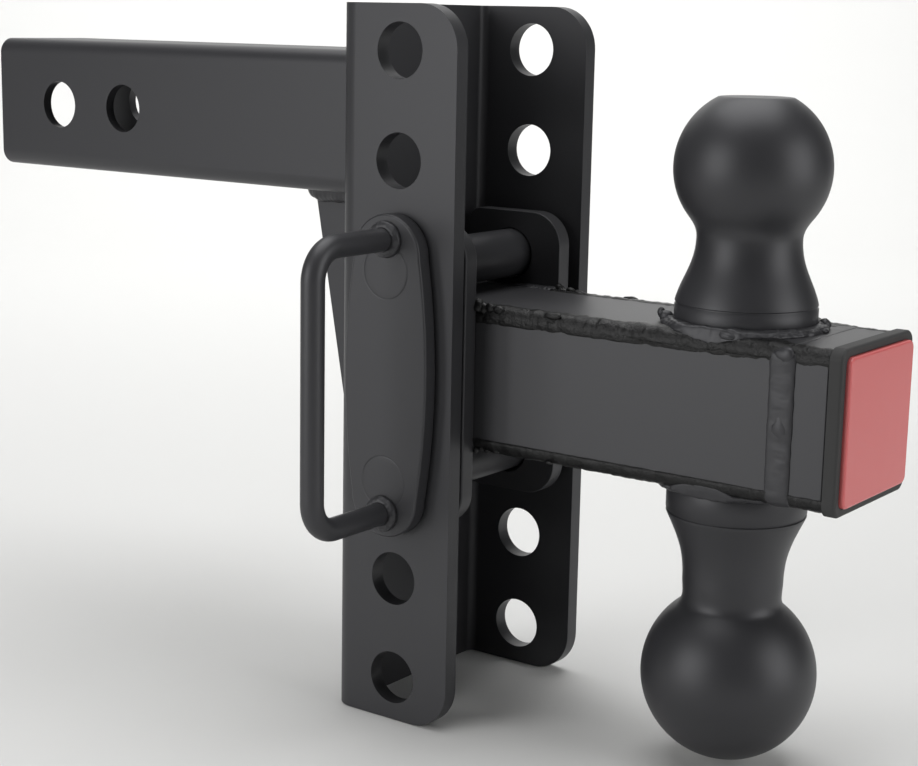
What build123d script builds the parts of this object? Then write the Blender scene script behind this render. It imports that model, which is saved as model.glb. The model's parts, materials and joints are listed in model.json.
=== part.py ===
"""Adjustable trailer hitch with two tow balls, modelled piece by piece in millimetres.

+X runs from the vehicle towards the trailer, +Z is up, and the pin handle is on the -Y side.
The origin is on the shank's axis, at the centre of the hitch-pin hole nearest its free end.
"""
import os
from math import ceil, sqrt

from build123d import *

os.makedirs("parts", exist_ok=True)

# Shank: the square tube that slides into the vehicle's receiver.
shank_size = 50.8
shank_wall = 4.0
shank_corner = 6.0
shank_length = 191.6
hitch_pin_hole = 18.2
hitch_pin_inset = 34.3
hitch_pin_pitch = 36.0

# Adjusting channel: a bent steel U with rows of holes through both flanges.
channel_wall = 6.0
channel_depth = 51.5
channel_bend = 9.0
flange_corner = 15.0
row_count = 7
row_pitch = 36.5
row_setback = 23.7
row_end_margin = 15.5
shank_top_margin = 16.3

# Gusset: the tall plate under the shank that braces the channel.
gusset_thickness = 12.0
gusset_reach = 40.0
gusset_waist = 24.0
gusset_waist_height = 86.0
gusset_height = 122.0

# Ball mount: arm, end stub and the two cheek plates that the pins pass through.
arm_size = 50.8
arm_wall = 6.35
arm_corner = 4.0
arm_rear_gap = 3.0
ball_reach = 87.0
arm_past_ball = 26.0
stub_gap = 1.0
stub_length = 14.7
cheek_thickness = 6.5
cheek_side_gap = 4.1
cheek_overlap = 16.0
cheek_setback = 2.0
cheek_front_corner = 12.0
cheek_rear_corner = 5.0

# Tow balls: 2 in above the arm and 2 5/16 in below it.
upper_ball_diameter = 50.8
lower_ball_diameter = 58.74
upper_ball_height = 50.9
lower_ball_height = 67.0
upper_neck_radius = 17.0
lower_neck_radius = 16.7
ball_flat_radius = 12.8
ball_base_radius = 23.2
upper_base_height = 7.9
lower_base_height = 11.5
ball_groove = 0.8
ball_cone_share = 0.76
spigot_radius = 15.0
spigot_clearance = 0.1

# Locking pins and their handle.
pin_diameter = 17.5
pin_clearance = 0.7
arm_pin_gap = 2.0
pin_drop = 0.45
mount_drop = 0.45
pin_projection = 16.0
pin_chamfer = 2.5
clip_hole = 4.5
clip_hole_inset = 8.0
plug_weld_depth = 1.5
plate_gap = 0.3
plate_thickness = 6.0
plate_width = 35.0
plate_end_radius = 14.0
plate_overlap = 19.5
handle_rod = 8.0
leg_past_pin = 11.0
handle_standoff = 37.4
handle_bend = 11.0

# End cap: a ribbed plastic plug with a reflector let into its face.
cap_overhang = 1.0
cap_gap = 0.5
cap_flange = 4.5
cap_corner = 4.0
cap_plug_length = 20.0
cap_plug_wall = 2.5
cap_rib_height = 0.4
cap_rib_width = 2.0
cap_rib_spacing = 20.0
reflector_margin = 2.8
reflector_clearance = 0.15
reflector_recess = 2.0
reflector_thickness = 3.6

# Weld beads.
shank_bead = 6.0
gusset_bead = 5.0
ball_bead = 5.0
ball_bead_width = 3.5
leg_bead = 3.5
stub_bead_width = 8.0
stub_bead_height = 1.2
edge_bead = 2.4
cheek_bead_crown = 1.0

# Places along the hitch, worked out from the sizes above.
web_x = shank_length - hitch_pin_inset
inner_web_x = web_x + channel_wall
front_x = web_x + channel_depth
row_x = front_x - row_setback
arm_rear_x = inner_web_x + arm_rear_gap
cheek_front_x = front_x - cheek_setback
ball_x = front_x + ball_reach
arm_front_x = ball_x + arm_past_ball
stub_rear_x = arm_front_x + stub_gap
stub_front_x = stub_rear_x + stub_length

# Half sizes and the width of the channel, which the arm and its cheeks fit into.
arm_half = arm_size / 2
shank_half = shank_size / 2
channel_half = arm_half + cheek_thickness + cheek_side_gap + channel_wall
row_hole = pin_diameter + 2 * pin_clearance

# The two pins go through the nearest rows that leave room for the arm between them.
# An odd number of pitches between them puts the arm half a pitch below the middle row.
pin_pitches = ceil((arm_size + pin_diameter + 2 * arm_pin_gap) / row_pitch)
pin_offset = pin_pitches * row_pitch / 2
channel_high = shank_half + shank_top_margin
channel_low = channel_high - (row_count - 1) * row_pitch - 2 * row_end_margin
rows_z = (channel_high + channel_low) / 2
# The pins rest low in the channel's holes, and the cheeks hang on the pins.
pins_z = rows_z - (row_count - 1 - pin_pitches) % 2 * row_pitch / 2 - pin_drop
arm_z = pins_z - mount_drop
pin_heights = [pins_z + pin_offset, pins_z - pin_offset]
cheek_hole_heights = [arm_z + pin_offset, arm_z - pin_offset]
cheek_half_height = pin_offset + cheek_overlap
plate_back_y = -channel_half - plate_gap
plate_face_y = plate_back_y - plate_thickness
pin_tip_y = channel_half + pin_projection


def save(piece, name):
    """Label a finished piece and write its STEP file."""
    piece.label = name
    export_step(piece, f"parts/{name}.step")


def square_tube(rear_x, length, height, size, wall, corner):
    """A square tube along X with rounded corners, centred on the given height."""
    with BuildPart() as tube:
        with BuildSketch(Plane.YZ.offset(rear_x)):
            with Locations((0, height)):
                RectangleRounded(size, size, corner)
                inner = size - 2 * wall
                RectangleRounded(inner, inner, corner / 2, mode=Mode.SUBTRACT)
        extrude(amount=length)
    return tube.part


# --- Shank -------------------------------------------------------------------------------

with BuildPart() as shank_tube:
    add(square_tube(-hitch_pin_inset, shank_length, 0, shank_size, shank_wall, shank_corner))
    with BuildSketch(Plane.XZ.offset(shank_half + 1)):
        with Locations((0, 0), (hitch_pin_pitch, 0)):
            Circle(hitch_pin_hole / 2)
    extrude(amount=-shank_size - 2, mode=Mode.SUBTRACT)
save(shank_tube.part, "shank_tube")

# --- Adjusting channel -------------------------------------------------------------------

with BuildPart() as adjusting_channel:
    with BuildSketch(Plane.XY.offset(channel_low)):
        with Locations(((web_x + front_x) / 2, 0)):
            Rectangle(channel_depth, 2 * channel_half)
        fillet(vertices().group_by(Axis.X)[0], channel_bend)
        with BuildSketch(mode=Mode.SUBTRACT) as hollow:
            with Locations(((inner_web_x + front_x) / 2, 0)):
                Rectangle(channel_depth - channel_wall, 2 * (channel_half - channel_wall))
            fillet(hollow.vertices().group_by(Axis.X)[0], channel_bend - channel_wall)
    extrude(amount=channel_high - channel_low)
    fillet(edges().filter_by(Axis.Y).group_by(Axis.X)[-1], flange_corner)
    with BuildSketch(Plane.XZ.offset(channel_half + 1)):
        with Locations((row_x, rows_z)):
            with GridLocations(0, row_pitch, 1, row_count):
                Circle(row_hole / 2)
    extrude(amount=-2 * channel_half - 2, mode=Mode.SUBTRACT)
save(adjusting_channel.part, "adjusting_channel")

# --- Gusset under the shank --------------------------------------------------------------

with BuildPart() as shank_gusset:
    with BuildSketch(Plane.XZ):
        with BuildLine():
            top = (web_x - gusset_reach, -shank_half)
            waist = (web_x - gusset_waist, -shank_half - gusset_waist_height)
            foot = (web_x, -shank_half - gusset_height)
            Line((web_x, -shank_half), top)
            Line(top, waist)
            RadiusArc(waist, foot, -gusset_reach)
            Line(foot, (web_x, -shank_half))
        make_face()
    extrude(amount=gusset_thickness / 2, both=True)
save(shank_gusset.part, "shank_gusset")

# --- Welds that join the shank, the gusset and the channel -------------------------------

with BuildPart() as shank_weld:
    with BuildSketch(Plane((web_x, 0, 0), x_dir=(0, 1, 0), z_dir=(-1, 0, 0))):
        RectangleRounded(shank_size + 2 * shank_bead, shank_size + 2 * shank_bead, shank_corner + shank_bead)
    extrude(amount=shank_bead, taper=45)
    with BuildSketch(Plane.YZ.offset(web_x - shank_bead)):
        RectangleRounded(shank_size, shank_size, shank_corner)
    extrude(amount=shank_bead, mode=Mode.SUBTRACT)
    add(shank_gusset.part, mode=Mode.SUBTRACT)
save(shank_weld.part, "shank_weld")

with BuildPart() as gusset_welds:
    bead_top = -shank_half - shank_bead
    bead_foot = -shank_half - gusset_waist_height
    with BuildSketch(Plane.XY.offset(bead_foot)):
        for side in (1, -1):
            root = side * gusset_thickness / 2
            with BuildLine():
                Polyline(
                    (web_x, root),
                    (web_x - gusset_bead, root),
                    (web_x, root + side * gusset_bead),
                    close=True,
                )
            make_face()
    extrude(amount=bead_top - bead_foot)
    with BuildSketch(Plane.YZ.offset(web_x - gusset_reach)):
        for side in (1, -1):
            root = side * gusset_thickness / 2
            with BuildLine():
                Polyline(
                    (root, -shank_half),
                    (root, -shank_half - gusset_bead),
                    (root + side * gusset_bead, -shank_half),
                    close=True,
                )
            make_face()
    extrude(amount=gusset_reach - shank_bead)
save(gusset_welds.part, "gusset_welds")

# --- Arm, end stub and cheek plates ------------------------------------------------------

with BuildPart() as arm_tube:
    add(square_tube(arm_rear_x, arm_front_x - arm_rear_x, arm_z, arm_size, arm_wall, arm_corner))
    with BuildSketch(Plane.XY.offset(arm_z)):
        with Locations((ball_x, 0)):
            Circle(spigot_radius + spigot_clearance)
    extrude(amount=arm_size, both=True, mode=Mode.SUBTRACT)
save(arm_tube.part, "arm_tube")

save(square_tube(stub_rear_x, stub_length, arm_z, arm_size, arm_wall, arm_corner), "end_stub")

def cheek_plate(inner_y, outer_y):
    """An upright plate beside the arm, with a hole for each locking pin."""
    with BuildPart() as cheek:
        with BuildSketch(Plane.XZ.offset(-inner_y)):
            with Locations(((arm_rear_x + cheek_front_x) / 2, arm_z)):
                Rectangle(cheek_front_x - arm_rear_x, 2 * cheek_half_height)
            fillet(vertices().group_by(Axis.X)[-1], cheek_front_corner)
            fillet(vertices().group_by(Axis.X)[0], cheek_rear_corner)
            with Locations(*[(row_x, height) for height in cheek_hole_heights]):
                Circle(row_hole / 2, mode=Mode.SUBTRACT)
        extrude(amount=inner_y - outer_y)
    return cheek.part


save(cheek_plate(-arm_half, -arm_half - cheek_thickness), "handle_side_cheek")
save(cheek_plate(arm_half, arm_half + cheek_thickness), "clip_side_cheek")

with BuildPart() as cheek_welds:
    with BuildSketch(Plane.YZ.offset(arm_rear_x)):
        for side in (1, -1):
            for level in (1, -1):
                with BuildLine():
                    Polyline(
                        (side * arm_half, arm_z + level * (arm_half - arm_corner)),
                        (side * arm_half, arm_z + level * (arm_half + cheek_bead_crown)),
                        (side * (arm_half - arm_corner), arm_z + level * arm_half),
                        close=True,
                    )
                make_face()
        with Locations((0, arm_z)):
            RectangleRounded(arm_size, arm_size, arm_corner, mode=Mode.SUBTRACT)
    extrude(amount=cheek_front_x - arm_rear_x)
save(cheek_welds.part, "cheek_welds")

with BuildPart() as arm_edge_welds:
    with BuildSketch(Plane.YZ.offset(cheek_front_x)):
        corner_mid = arm_half - arm_corner + arm_corner / sqrt(2)
        with Locations((0, arm_z)):
            with GridLocations(2 * corner_mid, 2 * corner_mid, 2, 2):
                Circle(edge_bead)
            RectangleRounded(arm_size, arm_size, arm_corner, mode=Mode.SUBTRACT)
    extrude(amount=ball_x - ball_base_radius - cheek_front_x)
save(arm_edge_welds.part, "arm_edge_welds")

# --- Tow balls ---------------------------------------------------------------------------


def tow_ball(seat, diameter, centre_height, neck_radius, base_height):
    """A ball on a flared neck, with a base ring that sits on the seat and a spigot through the wall."""
    radius = diameter / 2
    neck_top = centre_height - sqrt(radius**2 - neck_radius**2)
    cone_top = base_height + (neck_top - base_height) * ball_cone_share
    flat_height = centre_height + sqrt(radius**2 - ball_flat_radius**2)
    side = Plane(seat.origin, x_dir=seat.x_dir, z_dir=-seat.y_dir)
    with BuildPart() as ball:
        with BuildSketch(side):
            with BuildLine():
                Polyline(
                    (0, flat_height),
                    (0, -arm_wall),
                    (spigot_radius, -arm_wall),
                    (spigot_radius, 0),
                    (ball_base_radius, 0),
                    (ball_base_radius, base_height - ball_groove),
                    (ball_base_radius - ball_groove, base_height - ball_groove),
                    (ball_base_radius - ball_groove, base_height),
                    (neck_radius, cone_top),
                    (neck_radius, neck_top),
                )
                ThreePointArc(
                    (neck_radius, neck_top),
                    (radius, centre_height),
                    (ball_flat_radius, flat_height),
                )
                Line((ball_flat_radius, flat_height), (0, flat_height))
            make_face()
        revolve(axis=Axis(seat.origin, seat.z_dir))
    return ball.part


def ball_bead_ring(seat):
    """A fillet bead round the base ring of a ball."""
    side = Plane(seat.origin, x_dir=seat.x_dir, z_dir=-seat.y_dir)
    bead_foot = ball_base_radius + ball_bead_width
    with BuildPart() as ring:
        with BuildSketch(side):
            with BuildLine():
                Polyline((ball_base_radius, 0), (bead_foot, 0), (ball_base_radius, ball_bead), close=True)
            make_face()
        revolve(axis=Axis(seat.origin, seat.z_dir))
    return ring.part


upper_seat = Plane((ball_x, 0, arm_z + arm_half))
lower_seat = Plane((ball_x, 0, arm_z - arm_half), x_dir=(1, 0, 0), z_dir=(0, 0, -1))
upper_ball = tow_ball(
    upper_seat, upper_ball_diameter, upper_ball_height, upper_neck_radius, upper_base_height
)
lower_ball = tow_ball(
    lower_seat, lower_ball_diameter, lower_ball_height, lower_neck_radius, lower_base_height
)
upper_ball_weld = ball_bead_ring(upper_seat)
lower_ball_weld = ball_bead_ring(lower_seat)
save(upper_ball, "upper_ball")
save(lower_ball, "lower_ball")
save(upper_ball_weld, "upper_ball_weld")
save(lower_ball_weld, "lower_ball_weld")

# The bead between arm and stub runs into the beads of the balls, so it stops at them.
with BuildPart() as stub_weld:
    add(square_tube(arm_front_x, stub_gap, arm_z, arm_size, arm_wall, arm_corner))
    bead_rear_x = arm_front_x + (stub_gap - stub_bead_width) / 2
    crown_size = arm_size + 2 * stub_bead_height
    with BuildSketch(Plane.YZ.offset(bead_rear_x)):
        with Locations((0, arm_z)):
            RectangleRounded(crown_size, crown_size, arm_corner + stub_bead_height)
            RectangleRounded(arm_size, arm_size, arm_corner, mode=Mode.SUBTRACT)
    extrude(amount=stub_bead_width)
    for neighbour in (upper_ball, lower_ball, upper_ball_weld, lower_ball_weld):
        add(neighbour, mode=Mode.SUBTRACT)
save(stub_weld.part, "stub_weld")


# --- End cap and reflector ---------------------------------------------------------------

cap_size = arm_size + 2 * cap_overhang
cap_rear_x = stub_front_x + cap_gap
cap_front_x = cap_rear_x + cap_flange
cap_bore = arm_size - 2 * arm_wall
reflector_size = cap_size - 2 * reflector_margin
plug_size = cap_bore - 2 * cap_rib_height

with BuildPart() as end_cap:
    with BuildSketch(Plane.YZ.offset(cap_rear_x)):
        with Locations((0, arm_z)):
            RectangleRounded(cap_size, cap_size, cap_corner)
    extrude(amount=cap_flange)
    fillet(faces().sort_by(Axis.X)[-1].edges(), 1.0)
    with BuildSketch(Plane.YZ.offset(cap_front_x)):
        with Locations((0, arm_z)):
            recess = reflector_size + 2 * reflector_clearance
            RectangleRounded(recess, recess, cap_corner - 1)
    extrude(amount=-reflector_recess, mode=Mode.SUBTRACT)
    with BuildSketch(Plane.YZ.offset(cap_rear_x)):
        with Locations((0, arm_z)):
            RectangleRounded(plug_size, plug_size, arm_corner / 2)
            with GridLocations(cap_rib_spacing, 0, 2, 1):
                Rectangle(cap_rib_width, cap_bore)
            with GridLocations(0, cap_rib_spacing, 1, 2):
                Rectangle(cap_bore, cap_rib_width)
            hollow_size = plug_size - 2 * cap_plug_wall
            RectangleRounded(hollow_size, hollow_size, arm_corner / 4, mode=Mode.SUBTRACT)
    extrude(amount=-cap_plug_length)
save(end_cap.part, "end_cap")

with BuildPart() as reflector:
    with BuildSketch(Plane.YZ.offset(cap_front_x - reflector_recess)):
        with Locations((0, arm_z)):
            RectangleRounded(reflector_size, reflector_size, cap_corner - 1 - reflector_clearance)
    extrude(amount=reflector_thickness)
    fillet(faces().sort_by(Axis.X)[-1].edges(), 0.8)
save(reflector.part, "reflector")

# --- Locking pins and handle -------------------------------------------------------------

with BuildPart() as handle_plate:
    plate_half = pin_offset + plate_overlap
    end_centre = plate_half - plate_end_radius
    with BuildSketch(Plane.XZ.offset(-plate_back_y)):
        with BuildLine():
            for side in (1, -1):
                ThreePointArc(
                    (row_x + side * plate_end_radius, pins_z - end_centre),
                    (row_x + side * plate_width / 2, pins_z),
                    (row_x + side * plate_end_radius, pins_z + end_centre),
                )
            for level in (1, -1):
                ThreePointArc(
                    (row_x - plate_end_radius, pins_z + level * end_centre),
                    (row_x, pins_z + level * plate_half),
                    (row_x + plate_end_radius, pins_z + level * end_centre),
                )
        make_face()
        with Locations(*[(row_x, height) for height in pin_heights]):
            Circle(pin_diameter / 2, mode=Mode.SUBTRACT)
    extrude(amount=plate_thickness)
save(handle_plate.part, "handle_plate")


def locking_pin(height):
    """A pin that starts inside the handle plate and passes through the channel and both cheeks."""
    pin_length = pin_tip_y - plate_face_y - plug_weld_depth
    with BuildPart() as pin:
        with BuildSketch(Plane.XZ.offset(-pin_tip_y)):
            with Locations((row_x, height)):
                Circle(pin_diameter / 2)
        extrude(amount=pin_length)
        chamfer(faces().sort_by(Axis.Y)[-1].edges(), pin_chamfer)
        with BuildSketch(Plane.XY.offset(height)):
            with Locations((row_x, pin_tip_y - clip_hole_inset)):
                Circle(clip_hole / 2)
        extrude(amount=pin_diameter, both=True, mode=Mode.SUBTRACT)
    return pin.part


for pin_name, pin_height in zip(("upper_pin", "lower_pin"), pin_heights):
    save(locking_pin(pin_height), pin_name)

with BuildPart() as pin_plug_welds:
    with BuildSketch(Plane.XZ.offset(-plate_face_y)):
        with Locations(*[(row_x, height) for height in pin_heights]):
            Circle(pin_diameter / 2)
    extrude(amount=-plug_weld_depth)
save(pin_plug_welds.part, "pin_plug_welds")

handle_bar_y = plate_face_y - handle_standoff
leg_heights = (pin_heights[0] + leg_past_pin, pin_heights[1] - leg_past_pin)

with BuildPart() as handle_bar:
    with BuildLine():
        FilletPolyline(
            (row_x, plate_face_y, leg_heights[0]),
            (row_x, handle_bar_y, leg_heights[0]),
            (row_x, handle_bar_y, leg_heights[1]),
            (row_x, plate_face_y, leg_heights[1]),
            radius=handle_bend,
        )
    with BuildSketch(Plane.XZ.offset(-plate_face_y)):
        with Locations((row_x, leg_heights[0])):
            Circle(handle_rod / 2)
    sweep()
save(handle_bar.part, "handle_bar")

with BuildPart() as handle_welds:
    with BuildSketch(Plane.XZ.offset(-plate_face_y)):
        with Locations(*[(row_x, height) for height in leg_heights]):
            Circle(handle_rod / 2 + leg_bead)
    extrude(amount=leg_bead, taper=45)
    with BuildSketch(Plane.XZ.offset(-plate_face_y)):
        with Locations(*[(row_x, height) for height in leg_heights]):
            Circle(handle_rod / 2)
    extrude(amount=leg_bead, mode=Mode.SUBTRACT)
save(handle_welds.part, "handle_welds")
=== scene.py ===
"""Finishes the adjustable trailer hitch: soft-edged steel, rippled welds, turned balls and a studio.

Laid out as an add-on: each operator makes one piece or one group of like pieces, and main() calls
them in order. Lengths are in metres. +X runs towards the trailer, +Z is up, the handle is at -Y.
"""
import json
import math

import bmesh
import bpy
from bpy.props import FloatProperty, FloatVectorProperty, IntProperty, PointerProperty
from mathutils import Euler, Matrix, Vector, noise


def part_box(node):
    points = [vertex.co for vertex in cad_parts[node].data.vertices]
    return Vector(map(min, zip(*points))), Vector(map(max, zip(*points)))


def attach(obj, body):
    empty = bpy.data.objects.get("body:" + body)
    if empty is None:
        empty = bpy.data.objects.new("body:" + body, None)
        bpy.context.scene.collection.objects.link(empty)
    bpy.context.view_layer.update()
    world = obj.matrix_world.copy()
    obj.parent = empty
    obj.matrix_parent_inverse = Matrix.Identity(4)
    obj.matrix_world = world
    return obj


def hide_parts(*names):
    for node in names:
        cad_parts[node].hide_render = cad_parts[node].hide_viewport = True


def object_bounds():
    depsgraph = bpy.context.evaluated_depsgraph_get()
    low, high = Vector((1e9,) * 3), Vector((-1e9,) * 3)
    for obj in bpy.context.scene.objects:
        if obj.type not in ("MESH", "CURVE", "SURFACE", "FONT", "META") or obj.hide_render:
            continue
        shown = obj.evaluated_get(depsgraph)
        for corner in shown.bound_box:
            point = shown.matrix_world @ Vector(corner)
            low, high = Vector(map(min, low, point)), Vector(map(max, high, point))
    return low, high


bl_info = {
    "name": "Trailer Hitch Finisher",
    "version": (1, 0, 0),
    "blender": (4, 5, 0),
    "location": "View3D > Sidebar > Hitch",
    "description": "Builds the finished pieces of an adjustable trailer hitch around its frame",
    "category": "Object",
}

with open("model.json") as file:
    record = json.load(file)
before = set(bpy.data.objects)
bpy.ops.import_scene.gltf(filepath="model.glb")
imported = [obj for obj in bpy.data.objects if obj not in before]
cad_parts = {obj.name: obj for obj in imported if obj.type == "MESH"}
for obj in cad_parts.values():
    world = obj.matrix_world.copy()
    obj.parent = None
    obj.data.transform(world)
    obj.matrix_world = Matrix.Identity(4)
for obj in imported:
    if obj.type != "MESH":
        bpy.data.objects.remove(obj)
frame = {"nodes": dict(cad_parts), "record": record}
frame_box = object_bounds()

MM = 0.001
UP = Vector((0.0, 0.0, 1.0))
FORWARD = Vector((1.0, 0.0, 0.0))
HITCH = "hitch"
PIN_HANDLE = "pin_handle"
QUARTER = math.pi / 2
SAME_POINT = 1e-6
LUMPS_PER_METRE = 330.0
PITS_PER_METRE = 900.0
LUMP_HEIGHT = 0.30 * MM
PIT_HEIGHT = 0.14 * MM
STREAK_HEIGHT = 0.30 * MM
MOUNTS = {mount["name"]: Vector(mount["pos_m"]) for mount in frame["record"]["mounts"]}


# --- Sizes and colours that a user would change ---


def length(name, description, default):
    """A length property shown in scene units."""
    return FloatProperty(name=name, description=description, default=default, min=0.0, unit="LENGTH")


def angle_setting(name, description, degrees):
    """An angle property with its default in degrees."""
    return FloatProperty(name=name, description=description, default=math.radians(degrees), subtype="ANGLE")


def light_setting(name, description, default):
    """A property for a light's strength."""
    return FloatProperty(name=name, description=description, default=default, min=0.0)


def colour(name, description, default):
    """A colour property."""
    return FloatVectorProperty(
        name=name, description=description, default=default, size=3, min=0.0, max=1.0, subtype="COLOR"
    )


class HitchSizes(bpy.types.PropertyGroup):
    """Sizes of the finishing details."""

    edge_round: length("Edge rounding", "Radius on the edges of cut steel", 0.9 * MM)
    tube_round: length("Tube end rounding", "Radius on the sawn ends of the tubes", 0.7 * MM)
    plastic_round: length("Plastic rounding", "Radius on the moulded cap", 0.8 * MM)
    ripple_pitch: length("Ripple pitch", "Distance between the ripples of a weld", 1.9 * MM)
    ripple_depth: length("Ripple depth", "How far the ripples of a weld stand out", 0.22 * MM)
    bead_step: length("Bead step", "Distance between the sections of a weld bead", 0.4 * MM)
    ball_segments: IntProperty(name="Ball segments", description="Divisions round each ball", default=144, min=24)
    base_radius: length("Base radius", "Radius of the ring under each ball", 23.2 * MM)
    rim_round: length("Cap rim rounding", "Radius on the outer rim of the cap", 2.1 * MM)
    ball_flat: length("Ball flat", "Radius of the flat at the end of each ball", 11.9 * MM)


class HitchColours(bpy.types.PropertyGroup):
    """Colours of the coats, the plastic and the reflector."""

    coat: colour("Powder coat", "Satin black on the steel", (0.0034, 0.0034, 0.0036))
    # lighter shade of the coat: real dust, flow marks and spots, and also painted highlights on convex edges and weld
    # high spots
    coat_light: colour("Dust and highlight coat", "Dusty patches, lighter spots and painted edge highlights", (0.013, 0.013, 0.0135))
    ball: colour("Ball coat", "Smooth satin black on the balls", (0.0030, 0.0030, 0.0032))
    weld: colour("Weld coat", "Coat over the weld beads", (0.0034, 0.0034, 0.0036))
    plastic: colour("Cap plastic", "Moulded black plastic", (0.0028, 0.0036, 0.0030))
    reflector: colour("Reflector", "Red reflector", (0.150, 0.0040, 0.0040))
    reflector_pale: colour("Reflector sheen", "Paler patches of the reflector", (0.190, 0.012, 0.014))
    floor: colour("Floor", "Pale studio floor", (0.70, 0.70, 0.69))


class HitchStage(bpy.types.PropertyGroup):
    """The camera and the studio lights."""

    lens: FloatProperty(name="Lens", description="Focal length", default=72.69, min=1.0, unit="CAMERA")
    camera_place: FloatVectorProperty(
        name="Camera place", description="Where the camera stands", default=(0.5700, -0.5344, 0.0380), unit="LENGTH"
    )
    camera_turn: angle_setting("Camera turn", "Heading of the view, from +Y towards -X", 36.013)
    camera_dip: angle_setting("Camera dip", "How far the view looks down", 11.219)
    camera_roll: angle_setting("Camera roll", "Roll about the line of sight", 1.134)
    side_light: light_setting("Handle side light", "Power of the left softbox", 8.2)
    end_light: light_setting("Ball side light", "Power of the right softbox", 6.2)
    top_light: light_setting("Top light", "Power of the overhead softbox", 18.0)
    back_light: light_setting("Backdrop light", "Power of the backdrop lamp", 30.0)
    room_light: light_setting("Room light", "Brightness of the room", 0.03)


# --- Shader building ---


class Value:
    """A shader socket that takes part in Python sums, so that sums add their Math nodes."""

    def __init__(self, tree, socket):
        self.tree = tree
        self.socket = socket

    def _math(self, operation, first, second):
        node = self.tree.nodes.new("ShaderNodeMath")
        node.operation = operation
        for slot, item in zip(node.inputs, (first, second)):
            if isinstance(item, Value):
                self.tree.links.new(item.socket, slot)
            else:
                slot.default_value = item
        return Value(self.tree, node.outputs[0])

    def __add__(self, other):
        return self._math("ADD", self, other)

    __radd__ = __add__

    def __sub__(self, other):
        return self._math("SUBTRACT", self, other)

    def __rsub__(self, other):
        return self._math("SUBTRACT", other, self)

    def __mul__(self, other):
        return self._math("MULTIPLY", self, other)

    __rmul__ = __mul__


class Finish:
    """A material under construction, with one method that adds any node."""

    def __init__(self, name, constants):
        self.material = bpy.data.materials.new(name)
        self.material.use_nodes = True
        self.tree = self.material.node_tree
        self.shader = self.tree.nodes["Principled BSDF"]
        for socket, value in constants.items():
            self.shader.inputs[socket].default_value = value
        # coordinates in metres, in the hitch's own frame
        self.where = self.add("ShaderNodeTexCoord", output=3)

    def add(self, kind, settings=None, inputs=None, output=0):
        """Add a node: its settings first, then the values or links of its sockets."""
        node = self.tree.nodes.new(kind)
        for key, value in (settings or {}).items():
            if key == "stops":
                while len(node.color_ramp.elements) < len(value):
                    node.color_ramp.elements.new(0.5)
                for element, (place, shade) in zip(node.color_ramp.elements, value):
                    element.position = place
                    element.color = (shade, shade, shade, 1.0)
            else:
                setattr(node, key, value)
        for key, value in (inputs or {}).items():
            if isinstance(value, Value):
                self.tree.links.new(value.socket, node.inputs[key])
            else:
                node.inputs[key].default_value = value
        return Value(self.tree, node.outputs[output])

    def noise(self, scale, detail=2.0, roughness=0.5, distortion=0.0, where=None):
        """Cloudy noise with so many features to the metre."""
        where = where or self.where
        inputs = {"Vector": where, "Scale": scale, "Detail": detail, "Roughness": roughness, "Distortion": distortion}
        return self.add("ShaderNodeTexNoise", inputs=inputs)

    def ramp(self, value, low, high):
        """A mask that rises from nothing at low to all at high."""
        return self.add("ShaderNodeValToRGB", {"stops": [(low, 0.0), (high, 1.0)]}, {"Fac": value})

    def mix(self, mask, first, second):
        """Two colours blended by a mask."""
        inputs = {0: mask}
        for slot, shade in ((6, first), (7, second)):
            inputs[slot] = shade if isinstance(shade, Value) else (*shade, 1.0)
        return self.add("ShaderNodeMix", {"data_type": "RGBA"}, inputs, output=2)

    def edges(self, low, high):
        """A mask of outward edges, where the finishes paint highlights."""
        pointed = self.add("ShaderNodeNewGeometry", output=7)
        return self.ramp(pointed, low, high)

    def bump(self, height, strength, distance):
        """Surface relief from a height value."""
        return self.add("ShaderNodeBump", inputs={"Strength": strength, "Distance": distance, "Height": height})

    def made_of(self, **values):
        """The material, with varying values linked to its shader; underscores stand for spaces."""
        for socket, value in values.items():
            self.tree.links.new(value.socket, self.shader.inputs[socket.replace("_", " ")])
        return self.material


def powder_coat(name, base, light, roughness):
    """Satin powder coat: orange peel, fine grain, cloudy gloss, dusty patches and painted highlights on the edges."""
    finish = Finish(name, {"IOR": 1.5, "Specular IOR Level": 0.30})
    clouds = finish.noise(26.0, detail=4.0, roughness=0.6)
    dust = finish.noise(420.0, detail=5.0, roughness=0.65)
    peel_height = finish.noise(950.0, detail=2.0)
    grain = finish.noise(5200.0, detail=2.0)
    edge = finish.edges(0.505, 0.60)
    # lighter in dusty patches, plus a painted highlight along the convex edges
    dust_and_edge_highlight = finish.ramp(dust, 0.60, 0.86) * 0.35 + edge * 0.65
    shade = finish.mix(dust_and_edge_highlight * (clouds * 0.7 + 0.3), base, light)
    gloss = roughness + (clouds - 0.5) * 0.14 + (grain - 0.5) * 0.10 + (dust - 0.5) * 0.06
    relief = finish.bump(peel_height * 0.6 + grain * 0.4, 0.30, 0.00009)
    return finish.made_of(Base_Color=shade, Roughness=gloss, Normal=relief)


def weld_coat(name, base, light, coarse):
    """Black coat run over a weld: glossier, with flow marks, pits and painted highlights on its high spots."""
    finish = Finish(name, {"IOR": 1.5, "Specular IOR Level": 0.38})
    flow = finish.noise(520.0 + 500.0 * coarse, detail=4.0, roughness=0.6, distortion=0.8)
    pits = finish.noise(1900.0, detail=3.0, roughness=0.6)
    edge = finish.edges(0.51, 0.62)
    # edge paints a highlight on the bead's high spots; flow gives lighter flow marks
    shade = finish.mix(finish.ramp(flow, 0.5, 0.85) * 0.4 + edge * 0.5, base, light)
    gloss = 0.31 + 0.04 * coarse + (flow - 0.5) * 0.22 + (pits - 0.5) * 0.12
    relief = finish.bump(flow * 0.6 + pits * 0.4, 0.5 + 0.4 * coarse, 0.00022 + 0.00022 * coarse)
    return finish.made_of(Base_Color=shade, Roughness=gloss, Normal=relief)


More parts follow.
